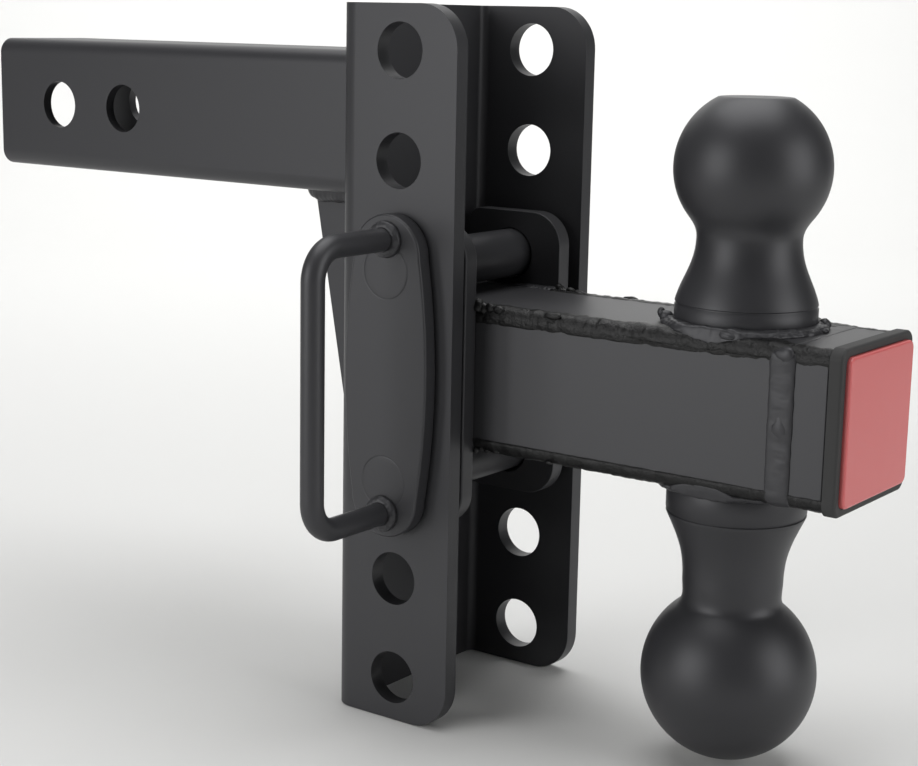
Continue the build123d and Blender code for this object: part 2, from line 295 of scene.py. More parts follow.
def ball_coat(name, base, light, axis_x):
    """Smooth satin coat over turned steel, with lathe rings on the flat ends."""
    finish = Finish(name, {"IOR": 1.5, "Specular IOR Level": 0.45})
    clouds = finish.noise(40.0, detail=3.0, roughness=0.55)
    grain = finish.noise(3800.0, detail=3.0, roughness=0.6)
    spots = finish.noise(900.0, detail=4.0, roughness=0.7)
    from_axis = finish.add(
        "ShaderNodeVectorMath",
        {"operation": "MULTIPLY_ADD"},
        {0: finish.where, 1: (1.0, 1.0, 0.0), 2: (-axis_x, 0.0, 0.0)},
    )
    reach = finish.add("ShaderNodeVectorMath", {"operation": "LENGTH"}, {0: from_axis}, output=1)
    rings = finish.add("ShaderNodeMath", {"operation": "SINE"}, {0: reach * 11000.0})
    normal = finish.add("ShaderNodeNewGeometry", output=1)
    upright = finish.add("ShaderNodeSeparateXYZ", inputs={0: normal}, output=2)
    facing = finish.add("ShaderNodeMath", {"operation": "ABSOLUTE"}, {0: upright})
    flat = finish.ramp(facing, 0.97, 0.995)
    edge = finish.edges(0.51, 0.60)
    # edge paints a highlight on convex edges; spots and the flat ends are a shade lighter
    shade = finish.mix(finish.ramp(spots, 0.66, 0.9) * 0.25 + edge * 0.35 + flat * 0.3, base, light)
    gloss = 0.285 + (clouds - 0.5) * 0.12 + (grain - 0.5) * 0.10
    relief = finish.bump(grain * 0.5 + spots * 0.2 + rings * flat * 0.5, 0.22, 0.00008)
    return finish.made_of(Base_Color=shade, Roughness=gloss, Normal=relief)


def cap_plastic(name, base, light):
    """Moulded black plastic with a fine spark-eroded grain."""
    finish = Finish(name, {"IOR": 1.47, "Specular IOR Level": 0.45})
    grain = finish.noise(2600.0, detail=3.0, roughness=0.65)
    clouds = finish.noise(70.0, detail=3.0)
    edge = finish.edges(0.51, 0.60)
    # edge paints a highlight along the cap's edges
    shade = finish.mix(edge * 0.6 + clouds * 0.15, base, light)
    gloss = 0.46 + (grain - 0.5) * 0.16 + (clouds - 0.5) * 0.08
    return finish.made_of(Base_Color=shade, Roughness=gloss, Normal=finish.bump(grain, 0.35, 0.00012))


def reflector_red(name, base, pale):
    """Red reflector with mottled streaks and a fine lattice of prisms."""
    prisms_per_metre = 3600.0
    finish = Finish(name, {"IOR": 1.5, "Specular IOR Level": 0.12})
    split = {"Vector": finish.where}
    across = finish.add("ShaderNodeSeparateXYZ", inputs=split, output=1)
    upward = finish.add("ShaderNodeSeparateXYZ", inputs=split, output=2)
    stretched = finish.add("ShaderNodeVectorMath", {"operation": "MULTIPLY"}, {0: finish.where, 1: (1.0, 1.0, 0.28)})
    streaks = finish.noise(330.0, detail=5.0, roughness=0.65, where=stretched)
    patches = finish.noise(75.0, detail=3.0)
    one_way = finish.add("ShaderNodeMath", {"operation": "SINE"}, {0: (across + upward) * prisms_per_metre})
    other_way = finish.add("ShaderNodeMath", {"operation": "SINE"}, {0: (across - upward) * prisms_per_metre})
    lattice = one_way * other_way
    mottle = finish.ramp(streaks, 0.35, 0.72) * 0.55 + finish.ramp(patches, 0.3, 0.7) * 0.25
    shade = finish.mix(mottle + lattice * 0.08, base, pale)
    gloss = 0.34 + (streaks - 0.5) * 0.2
    relief = finish.bump(lattice * 0.5 + streaks, 0.25, 0.00010)
    return finish.made_of(Base_Color=shade, Roughness=gloss, Normal=relief)


def floor_finish(name, base):
    """Matt pale floor with a trace of unevenness."""
    finish = Finish(name, {"Roughness": 0.85, "Specular IOR Level": 0.2})
    clouds = finish.noise(3.0, detail=3.0)
    return finish.made_of(Base_Color=finish.mix(clouds * 0.3, base, tuple(0.97 * part for part in base)))


def finish_for(kind):
    """The named finish, made once from the colours in the scene."""
    known = bpy.data.materials.get(kind)
    if known:
        return known
    shades = bpy.context.scene.hitch_colours
    light = shades.coat_light
    makers = {
        "frame_coat": (powder_coat, shades.coat, light, 0.43),
        "mount_coat": (powder_coat, shades.coat, light, 0.41),
        "pin_coat": (powder_coat, shades.coat, light, 0.40),
        "ball_coat": (ball_coat, shades.ball, light, MOUNTS["upper_tow_ball"].x),
        "weld_coat": (weld_coat, shades.weld, light, 0.0),
        "rough_weld_coat": (weld_coat, shades.weld, light, 1.0),
        "cap_plastic": (cap_plastic, shades.plastic, light),
        "reflector_red": (reflector_red, shades.reflector, shades.reflector_pale),
        "floor_paint": (floor_finish, shades.floor),
    }
    make, *choices = makers[kind]
    return make(kind, *choices)


# --- Mesh building ---


def new_piece(name, mesh, body, slot, node, finish=None):
    """Show a mesh as a piece that rides on a body, takes a slot's finish and replaces a CAD node."""
    piece = bpy.data.objects.new(name, mesh)
    bpy.context.scene.collection.objects.link(piece)
    mesh.materials.clear()
    mesh.materials.append(finish_for(finish or slot))
    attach(piece, body)
    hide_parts(node)
    return piece


def close_and_store(shape, name):
    """Turn a bmesh into a smooth mesh with outward normals."""
    bmesh.ops.recalc_face_normals(shape, faces=shape.faces)
    mesh = bpy.data.meshes.new(name)
    shape.to_mesh(mesh)
    shape.free()
    mesh.shade_smooth()
    return mesh


def bead_piece(name, shape, node, body=HITCH, finish=None):
    """Show a shape of weld beads in place of a CAD node."""
    return new_piece(name, close_and_store(shape, name), body, "weld_coat", node, finish)


def crisp(piece, name, degrees):
    """Keep a piece's edges crisp where its faces meet at more than an angle."""
    split = piece.modifiers.new(name, "EDGE_SPLIT")
    split.split_angle = math.radians(degrees)


def softened(node, name, body, slot, radius, sharp=math.radians(28), rim=None):
    """A copy of a CAD node with its sharp edges rounded over; rim gives (test, radius) for larger ones."""
    shape = bmesh.new()
    shape.from_mesh(frame["nodes"][node].data)
    bmesh.ops.remove_doubles(shape, verts=shape.verts, dist=SAME_POINT)
    bmesh.ops.dissolve_limit(
        shape, angle_limit=math.radians(0.4), use_dissolve_boundaries=False, verts=shape.verts, edges=shape.edges
    )

    def sharp_edges():
        return [edge for edge in shape.edges if edge.is_manifold and edge.calc_face_angle(0.0) > sharp]

    rounds = [(*rim, 6)] if rim else []
    rounds.append((lambda edge: True, radius, 3))
    for chosen, size, segments in rounds:
        edges = [edge for edge in sharp_edges() if chosen(edge)]
        bmesh.ops.bevel(
            shape, geom=edges, offset=size, segments=segments, profile=0.5, affect="EDGES", clamp_overlap=True
        )
    piece = new_piece(name, close_and_store(shape, name), body, slot, node)
    weighted = piece.modifiers.new("flat_faces", "WEIGHTED_NORMAL")
    weighted.mode = "FACE_AREA_WITH_ANGLE"
    weighted.weight = 100
    return piece


def skin(shape, pairs):
    """Faces between neighbouring rows of vertices, each row closed on itself."""
    for here, there in pairs:
        for i in range(len(here)):
            after = (i + 1) % len(here)
            shape.faces.new((here[i], here[after], there[after], there[i]))


def lathe(profile, centre, upright, segments):
    """A solid turned about a vertical axis from (radius, height) points, closed on the axis."""
    shape = bmesh.new()
    rings = []
    for radius, height in profile:
        level = centre + Vector((0.0, 0.0, upright * height))
        if radius < 1e-7:
            rings.append([shape.verts.new(level)])
            continue
        ring = []
        for step in range(segments):
            angle = math.tau * step / segments
            ring.append(shape.verts.new(level + Vector((radius * math.cos(angle), radius * math.sin(angle), 0.0))))
        rings.append(ring)
    for lower, upper in zip(rings, rings[1:]):
        for step in range(segments):
            after = (step + 1) % segments
            corners = [lower[step % len(lower)], lower[after % len(lower)]]
            corners += [upper[after % len(upper)], upper[step % len(upper)]]
            shape.faces.new(list(dict.fromkeys(corners)))
    return shape


def bezier(start, pull_start, pull_end, end, steps):
    """Points along a cubic curve, without its first point."""
    points = []
    for step in range(1, steps + 1):
        t = step / steps
        s = 1.0 - t
        weights = (s**3, 3 * s * s * t, 3 * s * t * t, t**3)
        corners = (start, pull_start, pull_end, end)
        points.append(tuple(sum(w * c[i] for w, c in zip(weights, corners)) for i in range(2)))
    return points


def wander(place, scale, seed):
    """Smooth repeatable noise between -1 and 1 at a place."""
    return noise.noise(Vector(place) * scale + Vector((seed * 7.3, seed * 3.1, seed * 5.7)))


def straight_path(start, end, out, up, step):
    """Stations along a straight weld: point, the two leg directions and the distance run."""
    run = end - start
    count = max(2, round(run.length / step))
    return [(start + run * (i / count), out, up, run.length * i / count) for i in range(count + 1)]


def ring_path(centre, radius, up, step):
    """Stations round a circle, with the legs outward and up."""
    count = round(math.tau * radius / step)
    stations = []
    for i in range(count):
        angle = math.tau * i / count
        out = Vector((math.cos(angle), math.sin(angle), 0.0))
        stations.append((centre + out * radius, out, up, radius * angle))
    return stations


def loop_path(centre, half_y, half_z, corner, along, step):
    """Stations round a rounded rectangle across X, with the legs outward and along X."""
    stations = []
    run = 0.0
    for turn, (sy, sz) in enumerate(((1, 1), (-1, 1), (-1, -1), (1, -1))):
        hub = centre + Vector((0.0, sy * (half_y - corner), sz * (half_z - corner)))
        first = QUARTER * turn
        arc_count = max(3, round(QUARTER * corner / step))
        for i in range(arc_count):
            angle = first + QUARTER * i / arc_count
            out = Vector((0.0, math.cos(angle), math.sin(angle)))
            stations.append((hub + out * corner, out, along, run))
            run += QUARTER * corner / arc_count
        flat = 2 * ((half_y if turn % 2 == 0 else half_z) - corner)
        out = Vector((0.0, math.cos(first + QUARTER), math.sin(first + QUARTER)))
        heading = Vector((0.0, -out.z, out.y))
        start = hub + out * corner
        flat_count = max(2, round(flat / step))
        for i in range(flat_count):
            stations.append((start + heading * (flat * i / flat_count), out, along, run))
            run += flat / flat_count
    return stations


def fillet_section(leg_out, leg_up, steps=11):
    """A convex fillet from one leg to the other, with its root just inside the metal."""
    power = 0.82
    points = []
    for i in range(steps):
        angle = QUARTER * i / (steps - 1)
        points.append((leg_out * math.cos(angle) ** power, leg_up * math.sin(angle) ** power))
    return points, (0.0, 0.0)


def crown_section(half_width, height, steps=13):
    """A low crown across a flat: the legs are outward from the surface and across the bead."""
    points = []
    for i in range(steps):
        angle = math.pi * i / (steps - 1)
        points.append((height * math.sin(angle) ** 0.7, half_width * math.cos(angle)))
    return points, (-2.0 * MM, 0.0)


def wrap_section(corner, side_reach, top_reach, height, steps=6):
    """A low band over a rounded corner, seen from the corner's hub: side, corner, then top."""
    outline = [((corner, -side_reach * (1 - i / steps)), (1.0, 0.0)) for i in range(steps)]
    for i in range(steps + 1):
        angle = QUARTER * i / steps
        way = (math.cos(angle), math.sin(angle))
        outline.append(((corner * way[0], corner * way[1]), way))
    outline += [((-top_reach * i / steps, corner), (0.0, 1.0)) for i in range(1, steps + 1)]
    last = len(outline) - 1
    points = []
    for i, (place, way) in enumerate(outline):
        rise = (height + 0.2 * MM) * math.sin(math.pi * i / last) ** 0.55 - 0.2 * MM
        points.append(tuple(p + rise * w for p, w in zip(place, way)))
    return points, (0.0, 0.0)


def bead(paths, section, seed, ripple=1.0, rough=1.0, streak=0.0, swell=0.1, closed=False, reshape=None):
    """Weld beads swept along their paths, with crescent ripples, lumps, streaks and wandering toes."""
    sizes = bpy.context.scene.hitch_sizes
    points, root = section
    middle = (len(points) - 1) / 2
    shape = bmesh.new()
    for number, stations in enumerate(paths):
        rows = []
        for origin, out, up, run in stations:
            growth = 1.0 + swell * wander(origin, 210.0, seed + number)
            row = []
            for i, (p, q) in enumerate(points):
                off_middle = abs(i - middle) / middle
                phase = run / sizes.ripple_pitch + 0.55 * (1.0 - off_middle**2)
                crest = abs(math.sin(math.pi * phase)) ** 0.6 - 0.6
                fade = (1.0 - off_middle**4) ** 0.5
                reach = math.hypot(p - root[0], q - root[1])
                spot = origin + out * p + up * q
                push = sizes.ripple_depth * ripple * crest * fade
                push += LUMP_HEIGHT * rough * wander(spot, LUMPS_PER_METRE, seed + 11) * (0.3 + 0.7 * fade)
                push += PIT_HEIGHT * rough * wander(spot, PITS_PER_METRE, seed + 17) * fade
                push += STREAK_HEIGHT * streak * wander((0.45 * i, run * 90.0, seed), 1.0, 0) * fade
                scale = growth + push / max(reach, 0.2 * MM)
                place = origin + out * (root[0] + (p - root[0]) * scale) + up * (root[1] + (q - root[1]) * scale)
                row.append(shape.verts.new(reshape(place) if reshape else place))
            row.append(shape.verts.new(origin + out * (root[0] - 0.5 * MM) + up * (root[1] - 0.5 * MM)))
            rows.append(row)
        pairs = list(zip(rows, rows[1:]))
        if closed:
            pairs.append((rows[-1], rows[0]))
        else:
            shape.faces.new(rows[0])
            shape.faces.new(list(reversed(rows[-1])))
        skin(shape, pairs)
    return shape


def join_shape(shape, part):
    """Add one bmesh to another and free it."""
    spare = bpy.data.meshes.new("spare")
    part.to_mesh(spare)
    part.free()
    shape.from_mesh(spare)
    bpy.data.meshes.remove(spare)


def add_lumps(shape, lumps, seed):
    """Add spatter and stop marks: rounded lumps given as (centre, millimetres in three directions)."""
    for number, (centre, size) in enumerate(lumps):
        extents = [MM * extent for extent in size]
        made = bmesh.ops.create_icosphere(shape, subdivisions=3, radius=1.0)
        for vert in made["verts"]:
            way = vert.co.copy()
            away = Vector(part * extent for part, extent in zip(way, extents))
            uneven = 1.0 + 0.30 * wander(centre + away, LUMPS_PER_METRE, seed + number)
            uneven += 0.12 * wander(centre + away, PITS_PER_METRE, seed)
            vert.co = centre + away * uneven


def resized(stations, size_at):
    """The same stations with their legs scaled by a function of the point and the distance run."""
    drawn = []
    for origin, out, up, run in stations:
        size = size_at(origin, run)
        drawn.append((origin, out * size, up * size, run))
    return drawn


def tapered(stations, reach):
    """The same stations with both ends drawn in over a distance, as a bead starts and stops."""
    total = stations[-1][3]

    def size_at(origin, run):
        near_end = min(run, total - run) / reach
        return math.sin(QUARTER * min(1.0, 0.25 + 0.75 * near_end))

    return resized(stations, size_at)


def tube_along(points, radius, sides, name):
    """A round bar along a smooth path of points, closed at its ends."""
    shape = bmesh.new()
    rows = []
    side = Vector((1.0, 0.0, 0.0))
    for i, point in enumerate(points):
        ahead = (points[min(i + 1, len(points) - 1)] - points[max(i - 1, 0)]).normalized()
        lift = ahead.cross(side).normalized()
        ring = []
        for step in range(sides):
            angle = math.tau * step / sides
            ring.append(shape.verts.new(point + (side * math.cos(angle) + lift * math.sin(angle)) * radius))
        rows.append(ring)
    skin(shape, zip(rows, rows[1:]))
    shape.faces.new(rows[0])
    shape.faces.new(list(reversed(rows[-1])))
    return close_and_store(shape, name)


def upright_circle(count):
    """Turning angles and unit directions round a circle across Y."""
    turns = [math.tau * i / count for i in range(count)]
    return [(turn, Vector((math.cos(turn), 0.0, math.sin(turn)))) for turn in turns]


def arc_points(hub, start, end, steps):
    """Points on a quarter turn about a hub, from start to end."""
    first = start - hub
    last = end - hub
    turns = [QUARTER * i / steps for i in range(steps + 1)]
    return [hub + first * math.cos(turn) + last * math.sin(turn) for turn in turns]


# --- Operators: the pieces ---


class HITCH_OT_receiver_side(bpy.types.Operator):
    """Round the edges of the shank, the drilled channel and the gusset"""

    bl_idname = "hitch.receiver_side"
    bl_label = "Shank and channel"

    def execute(self, context):
        sizes = context.scene.hitch_sizes
        for node, name, radius in (
            ("shank_tube", "shank", sizes.tube_round),
            ("adjusting_channel", "drilled_channel", sizes.edge_round),
            ("shank_gusset", "gusset", sizes.edge_round),
        ):
            softened(node, name, HITCH, "frame_coat", radius)
        return {"FINISHED"}


class HITCH_OT_arm(bpy.types.Operator):
    """Round the edges of the arm, its end stub and the two cheek plates"""

    bl_idname = "hitch.arm"
    bl_label = "Arm and cheeks"

    def execute(self, context):
        sizes = context.scene.hitch_sizes
        for node, name, radius in (
            ("arm_tube", "arm", sizes.tube_round),
            ("end_stub", "stub", sizes.tube_round),
            ("handle_side_cheek", "cheek_handle_side", sizes.edge_round),
            ("clip_side_cheek", "cheek_clip_side", sizes.edge_round),
        ):
            softened(node, name, HITCH, "mount_coat", radius)
        return {"FINISHED"}


def ball_profile(sizes, radius, centre, neck, waist, flare, base_height, tuck):
    """Half outline of a ball: spigot, base ring with its groove, flared neck, ball and flat."""
    base = sizes.base_radius
    groove = 0.45 * MM
    soft = 0.5 * MM
    spigot = 15.0 * MM
    wall = 6.2 * MM
    outline = [(0.0, -wall), (spigot - soft, -wall), (spigot, -wall + soft), (spigot, 0.0)]
    outline += [(base - soft, 0.0), (base, soft), (base, base_height - 3 * groove)]
    outline += [(base - groove, base_height - 2 * groove), (base - groove, base_height - groove)]
    outline += [(base - 0.2 * groove, base_height - 0.4 * groove), (base - 0.2 * groove, base_height)]
    rise = waist - base_height
    outline += bezier(
        outline[-1],
        (base - flare * (base - neck), base_height + 0.36 * rise),
        (neck, base_height + 0.57 * rise),
        (neck, waist),
        18,
    )
    meets = (radius * math.cos(tuck), centre - radius * math.sin(tuck))
    pull = 0.11 * radius
    outline += bezier(
        (neck, waist),
        (neck, waist + 0.4 * (meets[1] - waist)),
        (meets[0] - pull * math.sin(tuck), meets[1] - pull * math.cos(tuck)),
        meets,
        10,
    )
    flat = sizes.ball_flat
    last = math.acos((flat + soft * 0.4) / radius)
    steps = 44
    for i in range(1, steps + 1):
        angle = -tuck + (last + tuck) * i / steps
        outline.append((radius * math.cos(angle), centre + radius * math.sin(angle)))
    top = centre + math.sqrt(radius**2 - flat**2)
    dish = top - 0.05 * MM
    outline += [(flat - soft * 0.6, top), (flat - 1.6 * MM, top), (flat * 0.5, dish), (0.0, dish)]
    return outline


class HITCH_OT_balls(bpy.types.Operator):
    """Turn the two tow balls with their necks and base rings"""

    bl_idname = "hitch.balls"
    bl_label = "Tow balls"

    def execute(self, context):
        sizes = context.scene.hitch_sizes
        arm_low, arm_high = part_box("arm_tube")
        # neck, waist and base height in millimetres, tuck in degrees
        for node, mount, upright, seat, neck, waist, flare, base_height, tuck in (
            ("upper_ball", "upper_tow_ball", 1.0, arm_high.z, 17.0, 28.5, 0.32, 7.9, 38.0),
            ("lower_ball", "lower_tow_ball", -1.0, arm_low.z, 16.7, 34.5, 0.60, 11.5, 52.0),
        ):
            low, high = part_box(node)
            centre = MOUNTS[mount]
            radius = (high.x - low.x) / 2
            reach = abs(centre.z - seat)
            profile = ball_profile(
                sizes, radius, reach, neck * MM, waist * MM, flare, base_height * MM, math.radians(tuck)
            )
            shape = lathe(profile, Vector((centre.x, centre.y, seat)), upright, sizes.ball_segments)
            piece = new_piece(f"{node}_turned", close_and_store(shape, node), HITCH, "ball_coat", node)
            crisp(piece, "crisp_edges", 50)
        return {"FINISHED"}


def edge_wrapper(half, middle):
    """A function that lets a bead that passes the arm's side run down over its edge."""
    limit = half - 1.0 * MM

    def over_edge(place):
        over = abs(place.y) - limit
        if over <= 0:
            return place
        inward = -1.0 if place.z > middle else 1.0
        return Vector((place.x, math.copysign(limit + 0.45 * over, place.y), place.z + inward * 0.9 * over))

    return over_edge


class HITCH_OT_arm_welds(bpy.types.Operator):
    """Lay the weld beads of the ball mount"""

    bl_idname = "hitch.arm_welds"
    bl_label = "Ball mount welds"

    def execute(self, context):
        self.sizes = context.scene.hitch_sizes
        self.low, self.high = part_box("arm_tube")
        self.half = (self.high.z - self.low.z) / 2
        self.middle = (self.high.z + self.low.z) / 2
        self.corner = 4.0 * MM
        self.seam_low, self.seam_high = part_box("stub_weld")
        self.lay_ball_beads()
        self.lay_edge_beads()
        self.lay_seam_bead()
        self.lay_cheek_beads()
        return {"FINISHED"}

    def lay_ball_beads(self):
        """A flowing bead round each ball's base, with stop marks on it."""
        sizes = self.sizes
        section = fillet_section(3.9 * MM, 2.5 * MM)
        # heading in degrees, then reach from the axis, lift and size in millimetres
        stops = (
            (207.0, 25.6, 1.6, (2.6, 1.6, 2.4)),
            (199.0, 27.6, 2.3, (1.3, 1.1, 1.8)),
            (27.0, 25.3, 1.3, (2.3, 2.3, 1.9)),
            (8.0, 26.0, 0.8, (1.7, 2.2, 1.1)),
            (285.0, 25.2, 0.4, (3.2, 1.6, 1.2)),
            (318.0, 25.4, 0.3, (2.6, 1.8, 1.2)),
            (120.0, 25.5, 0.6, (2.0, 2.4, 1.2)),
        )
        for node, seat, direction, seed in (
            ("upper_ball_weld", self.high.z, UP, 3),
            ("lower_ball_weld", self.low.z, -UP, 4),
        ):
            centre = Vector((MOUNTS["upper_tow_ball"].x, 0.0, seat))
            ring = ring_path(
                centre - direction * 0.1 * MM, sizes.base_radius - 0.1 * MM, direction, sizes.bead_step
            )
            shape = bead(
                [ring], section, seed, ripple=0.35, rough=1.7, streak=1.3, closed=True,
                reshape=edge_wrapper(self.half, self.middle),
            )
            marks = []
            for heading, reach, lift, size in stops:
                angle = math.radians(heading) * direction.z
                out = Vector((math.cos(angle), math.sin(angle), 0.0))
                marks.append((centre + out * reach * MM + direction * lift * MM, size))
            add_lumps(shape, marks, seed)
            bead_piece(f"{node}_bead", shape, node)

    def lay_edge_beads(self):
        """Bands along the arm's four edges, heavier over the top edges beside the ball."""
        step = self.sizes.bead_step
        corner = self.corner
        seam_low, seam_high = self.seam_low, self.seam_high
        edge_low, edge_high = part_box("arm_edge_welds")
        cap_back = seam_high.x + 12.4 * MM
        # distance along the edge, drop towards the corner and size in millimetres
        spatter = (
            (0.8, 0.2, (2.0, 1.9, 2.6)),
            (2.6, 1.6, (2.2, 1.7, 1.9)),
            (5.2, 0.4, (2.1, 1.3, 1.6)),
            (9.0, 1.0, (2.4, 1.2, 1.3)),
            (31.0, 0.3, (3.2, 1.1, 1.2)),
        )

        def thinning(origin, run):
            """A little thinner from the ball on."""
            along = (origin.x - edge_high.x) / (seam_low.x - edge_high.x)
            return 1.0 - 0.048 * min(1.0, max(0.0, along))

        shape = bmesh.new()
        for side, level in ((-1, 1), (1, 1), (-1, -1), (1, -1)):
            side_reach, top_reach, height = (2.2, 2.0, 0.5) if level > 0 else (0.5, 3.4, 0.7)
            hub = Vector((0.0, side * (self.half - corner), self.middle + level * (self.half - corner)))
            legs = (Vector((0.0, side, 0.0)), UP * level)
            edge_seed = 21 + side + 3 * level
            start = hub + FORWARD * (edge_low.x - 0.5 * MM)
            line = resized(straight_path(start, hub + FORWARD * cap_back, *legs, step), thinning)
            section = wrap_section(corner, side_reach * MM, top_reach * MM, height * MM)
            join_shape(shape, bead([line], section, edge_seed, ripple=0.0, rough=1.1, streak=0.12, swell=0.02))
            if level > 0:
                start = hub + FORWARD * (edge_high.x - 8.0 * MM)
                drape = straight_path(start, hub + FORWARD * (seam_high.x - 1.0 * MM), *legs, step)
                total = drape[-1][3]

                def fading(origin, run):
                    """Drawn in over the last 9 mm at each end."""
                    return 0.86 + 0.14 * min(1.0, min(run, total - run) / (9.0 * MM)) ** 0.5

                section = wrap_section(corner, 0.8 * MM, 4.6 * MM, 0.75 * MM)
                part = bead(
                    [resized(drape, fading)], section, edge_seed + 50, ripple=0.0, rough=1.3, streak=0.7, swell=0.05
                )
                join_shape(shape, part)
            outer = Vector((0.0, side * corner, level * corner))
            shrink = 1.0 if level > 0 else 0.55
            marks = []
            for along, drop, size in spatter:
                place = hub + outer * (0.93 - 0.1 * drop) + FORWARD * (edge_low.x + along * MM)
                marks.append((place, [extent * shrink for extent in size]))
            add_lumps(shape, marks, edge_seed + 6)
        bead_piece("arm_edge_beads", shape, "arm_edge_welds", finish="rough_weld_coat")

    def lay_seam_bead(self):
        """The bead round the joint of arm and stub, almost flush on top."""
        half = self.half
        seam_x = (self.seam_low.x + self.seam_high.x) / 2
        centre = Vector((seam_x, 0.0, self.middle))
        flattened = []
        for origin, out, along, run in loop_path(centre, half, half, self.corner, FORWARD, self.sizes.bead_step):
            topside = min(1.0, max(0.0, (out.z - 0.3) / 0.6))
            flattened.append((origin, out * (1.0 - 0.8 * topside), along * (1.0 - 0.3 * topside), run))
        section = crown_section(4.3 * MM, 0.95 * MM)
        shape = bead([flattened], section, 31, ripple=0.0, rough=0.6, swell=0.06, closed=True)
        marks = []
        for side in (-1, 1):
            for drop, shift, size in ((3.0, 0.4, (3.4, 1.5, 2.8)), (27.0, 0.2, (3.4, 1.0, 6.5))):
                place = Vector((seam_x + shift * MM, side * (half + 0.15 * MM), self.high.z - drop * MM))
                marks.append((place, size))
        add_lumps(shape, marks, 33)
        bead_piece("stub_seam_bead", shape, "stub_weld")

    def lay_cheek_beads(self):
        """The fillets between the arm and the two cheek plates."""
        half = self.half
        cheek_low, cheek_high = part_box("cheek_welds")
        paths = []
        for side in (1, -1):
            for level in (1, -1):
                root = Vector((0.0, side * (half - 0.2 * MM), self.middle + level * (half - 2.4 * MM)))
                legs = (Vector((0.0, -side, 0.0)), UP * level)
                start = root + FORWARD * cheek_low.x
                paths.append(straight_path(start, root + FORWARD * cheek_high.x, *legs, self.sizes.bead_step))
        shape = bead(paths, fillet_section(3.6 * MM, 3.2 * MM), 41, ripple=0.8, rough=0.6)
        bead_piece("cheek_beads", shape, "cheek_welds")


class HITCH_OT_frame_welds(bpy.types.Operator):
    """Lay the weld beads of the shank and its gusset"""

    bl_idname = "hitch.frame_welds"
    bl_label = "Shank welds"

    def execute(self, context):
        sizes = context.scene.hitch_sizes
        step = sizes.bead_step
        low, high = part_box("shank_tube")
        half = (high.z - low.z) / 2
        back = Vector((-1.0, 0.0, 0.0))
        loop = loop_path(Vector((high.x, 0.0, 0.0)), half, half, 6.0 * MM, back, step)
        shape = bead([loop], fillet_section(6.2 * MM, 6.0 * MM), 51, ripple=1.1, rough=1.2, closed=True)
        bead_piece("shank_bead", shape, "shank_weld")

        plate_low, plate_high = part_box("shank_gusset")
        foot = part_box("gusset_welds")[0].z
        down = -UP
        paths = []
        for side in (1, -1):
            outward = Vector((0.0, side, 0.0))
            face = plate_high.y * side
            top = Vector((high.x, face, plate_high.z))
            paths.append(straight_path(top, Vector((high.x, face, foot)), back, outward, step))
            toe = Vector((plate_low.x + 1.0 * MM, face, plate_high.z))
            paths.append(tapered(straight_path(toe, top, down, outward, step), 3.0 * MM))
        tip = plate_low.x
        across = [Vector((tip, y, plate_high.z)) for y in (plate_low.y, plate_high.y)]
        paths.append(tapered(straight_path(across[0], across[1], back, down, step), 2.0 * MM))
        shape = bead(paths, fillet_section(5.2 * MM, 5.2 * MM), 61, ripple=1.1, rough=1.2)
        bead_piece("gusset_beads", shape, "gusset_welds")
        return {"FINISHED"}


class HITCH_OT_end_cap(bpy.types.Operator):
    """Finish the moulded cap and its reflector"""

    bl_idname = "hitch.end_cap"
    bl_label = "End cap and reflector"

    def execute(self, context):
        sizes = context.scene.hitch_sizes
        low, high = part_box("end_cap")

        def outer_rim(edge):
            """Only the edges round the outside of the cap's front face."""
            half = (high.y - low.y) / 2
            ends = [vert.co for vert in edge.verts]
            front = all(abs(end.x - high.x) < 0.05 * MM for end in ends)
            middle = Vector((0.0, (ends[0].y + ends[1].y) / 2, (ends[0].z + ends[1].z) / 2 - (high.z + low.z) / 2))
            return front and max(abs(middle.y), abs(middle.z)) > half - 1.6 * MM

        softened("end_cap", "cap", HITCH, "cap_plastic", sizes.plastic_round, rim=(outer_rim, sizes.rim_round))
        softened("reflector", "reflector_plate", HITCH, "reflector_red", 0.15 * MM)
        return {"FINISHED"}


